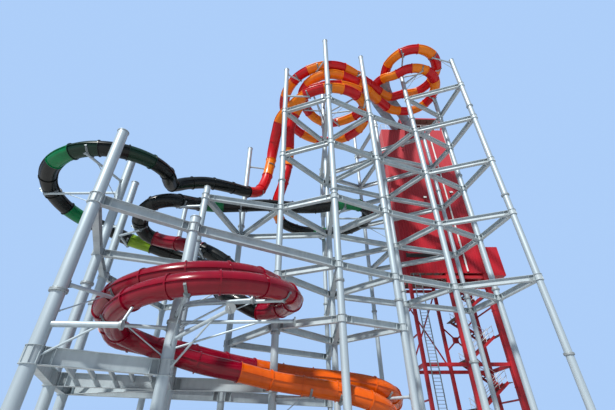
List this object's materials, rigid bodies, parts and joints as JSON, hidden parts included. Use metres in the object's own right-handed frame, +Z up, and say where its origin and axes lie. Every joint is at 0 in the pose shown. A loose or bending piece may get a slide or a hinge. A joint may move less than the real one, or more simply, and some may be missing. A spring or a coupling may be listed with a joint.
{
  "type": "water slide tower",
  "caption": "Steel pipe frame tower with beam levels that carries two winding closed water slides, with a red clad stair tower behind.",
  "frame": {"origin": "centre of the foot of the middle hub column, on the ground", "axes": "+Z up, +X to the right and +Y to the back as seen by the viewer of the picture"},
  "size_m": [38.9903, 24.2619, 38.9],
  "materials": {
    "steel": "galvanised grey, satin",
    "shell": "red sheet cladding, satin",
    "frame": "red paint, satin",
    "flame": "red and orange glass fibre, glossy",
    "dark": "near-black glass fibre with green lengths, glossy",
    "ruby": "deep red glass fibre, glossy",
    "amber": "orange glass fibre, glossy"
  },
  "bodies": {
    "root": {"column_o": "steel", "column_c": "steel", "column_d": "steel", "column_e": "steel", "column_f": "steel", "column_g": "steel", "column_h": "steel", "column_i": "steel", "column_j": "steel", "column_m": "steel", "column_n": "steel", "column_r": "steel", "column_b": "steel", "column_k": "steel", "column_a": "steel", "column_q": "steel", "column_a2": "steel", "column_a3": "steel", "hub_beams_t1": "steel", "hub_beams_t2": "steel", "hub_beams_t3": "steel", "hub_beams_t4": "steel", "hub_beams_t5": "steel", "east_beams_t0": "steel", "east_beams_t1": "steel", "east_beams_t2": "steel", "east_beams_t3": "steel", "east_beams_t4": "steel", "west_beams_t3": "steel", "back_beams_t4": "steel", "long_beam_t4": "steel", "deck_beams_t6": "steel", "slide_a_ring": "flame", "slide_a_loop_one": "flame", "slide_a_loop_two": "flame", "slide_a_chute": "flame", "slide_a_dark_loop": "dark", "slide_a_dark_run": "dark", "slide_a_dark_pass": "dark", "slide_a_red_ring": "ruby", "slide_a_run_out": "ruby", "slide_b_ring": "flame", "slide_b_loop_one": "flame", "slide_b_loop_two": "flame", "slide_b_chute": "flame", "slide_b_dark_run": "dark", "slide_b_dark_loop": "dark", "slide_b_dark_pass": "dark", "slide_b_red_ring": "ruby", "slide_b_red_run": "ruby", "slide_b_run_out": "amber", "tower_shell": "shell", "tower_side_box": "shell", "tower_base_frame": "frame"}
  },
  "joints": []
}
